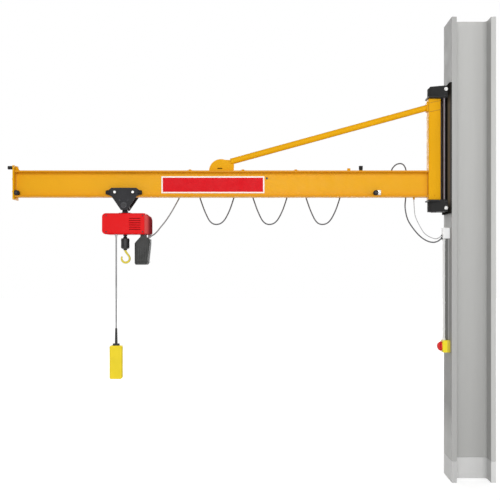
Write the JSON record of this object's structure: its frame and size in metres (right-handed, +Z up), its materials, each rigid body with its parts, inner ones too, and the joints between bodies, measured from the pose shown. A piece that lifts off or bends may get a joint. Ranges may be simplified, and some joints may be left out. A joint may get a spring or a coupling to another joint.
{
  "type": "column-mounted jib crane",
  "caption": "Slewing jib crane on a steel column, with a tied I-beam boom, a push trolley, an electric chain hoist, a pendant control and a festoon cable.",
  "frame": {"origin": "centre of the column foot's underside", "axes": "+Z up, the boom points along -X at rest, +X from the boom's tip towards the column, +Y to the festoon side"},
  "size_m": [3.572, 0.29, 3.37],
  "materials": {
    "column_paint": "satin light grey paint",
    "foot_paint": "satin pale grey paint",
    "console_paint": "satin black-grey paint",
    "jib_paint": "satin traffic-yellow paint",
    "zinc": "bright zinc plating",
    "pin_steel": "turned steel",
    "rubber": "black rubber",
    "white_plastic": "white moulded plastic",
    "grey_plastic": "light grey plastic conduit",
    "yellow_plastic": "yellow moulded plastic",
    "red_plastic": "red moulded plastic",
    "sign_red": "plain red enamel plate with a white edge",
    "cable_jacket": "dark grey cable jacket",
    "grey_cable": "light grey cable jacket",
    "trolley_paint": "dark grey paint",
    "wheel_steel": "machined wheel",
    "hoist_red": "smooth red paint",
    "end_cap": "dull red cover",
    "container": "black moulded plastic",
    "black_plastic": "black moulded plastic",
    "pendant_yellow": "yellow moulded plastic",
    "dark_steel": "blackened steel",
    "chain_steel": "oiled chain steel",
    "hook_paint": "yellow paint on a forging"
  },
  "bodies": {
    "column": {"column_foot": "foot_paint", "column_shaft": "column_paint", "console_plate": "console_paint", "upper_bracket": "console_paint", "lower_bracket": "console_paint", "spacer_tubes": "pin_steel", "pivot_pins": "pin_steel", "bracket_bolts": "zinc", "junction_box": "white_plastic", "supply_conduit": "grey_plastic", "isolator_box": "yellow_plastic"},
    "isolator_knob": {"isolator_knob": "red_plastic"},
    "jib": {"mast": "jib_paint", "boom_beam": "jib_paint", "tie_strut": "jib_paint", "strut_gusset": "jib_paint", "end_plate": "jib_paint", "trolley_stops": "rubber", "rail_end_caps": "rubber", "sign_plate": "sign_red", "festoon_rail": "zinc", "rail_arms": "jib_paint", "fixed_cable_clamp": "jib_paint", "boom_cable": "cable_jacket", "slew_cable": "cable_jacket", "control_cable": "grey_cable", "festoon_loop_3": "cable_jacket", "festoon_loop_2": "cable_jacket", "festoon_loop_1": "cable_jacket"},
    "carrier_3": {"carrier_3": "jib_paint"},
    "carrier_2": {"carrier_2": "jib_paint"},
    "carrier_1": {"carrier_1": "jib_paint"},
    "trolley": {"trolley_side_plates": "trolley_paint", "trolley_wheels": "wheel_steel", "wheel_axles": "zinc", "trolley_buffers": "rubber", "load_bar": "dark_steel", "suspension_lug": "trolley_paint", "hoist_body": "hoist_red", "hoist_end_cap": "end_cap", "chain_container": "container", "cable_glands": "black_plastic", "pendant_cable": "cable_jacket", "pendant_boot": "black_plastic", "pendant_body": "pendant_yellow", "pendant_buttons": "black_plastic", "hoist_lead": "cable_jacket"},
    "hook_block": {"load_chain": "chain_steel", "hook_block": "black_plastic"},
    "hook": {"hook": "hook_paint"}
  },
  "joints": [
    {"name": "slew", "type": "hinge", "parent": "column", "child": "jib", "pos_m": [-0.265, 0, 2.425], "axis": [0, 0, 1], "range_deg": [-90, 90], "deforming": ["slew_cable", "control_cable"]},
    {"name": "trolley_travel", "type": "slide", "parent": "jib", "child": "trolley", "axis": [1, 0, 0], "range_m": [-0.632, 1.69], "deforming": ["festoon_loop_3", "festoon_loop_2", "festoon_loop_1", "hoist_lead"]},
    {"name": "carrier_3_slide", "type": "slide", "parent": "jib", "child": "carrier_3", "axis": [1, 0, 0], "range_m": [-0.125, 0.326]},
    {"name": "carrier_2_slide", "type": "slide", "parent": "jib", "child": "carrier_2", "axis": [1, 0, 0], "range_m": [-0.247, 0.652]},
    {"name": "carrier_1_slide", "type": "slide", "parent": "jib", "child": "carrier_1", "axis": [1, 0, 0], "range_m": [-0.37, 0.977]},
    {"name": "hook_lift", "type": "slide", "parent": "trolley", "child": "hook_block", "axis": [0, 0, -1], "range_m": [0, 1.45], "deforming": ["load_chain"]},
    {"name": "hook_swivel", "type": "hinge", "parent": "hook_block", "child": "hook", "pos_m": [-2.545, 0, 1.69], "axis": [0, 0, 1], "continuous": true},
    {"name": "isolator_turn", "type": "hinge", "parent": "column", "child": "isolator_knob", "pos_m": [-0.216, -0.052, 0.98], "axis": [-1, 0, 0], "range_deg": [0, 90]}
  ],
  "couplings": [
    {"joint": "carrier_3_slide", "follows": "trolley_travel", "ratio": 0.1915},
    {"joint": "carrier_2_slide", "follows": "trolley_travel", "ratio": 0.383},
    {"joint": "carrier_1_slide", "follows": "trolley_travel", "ratio": 0.5745}
  ]
}
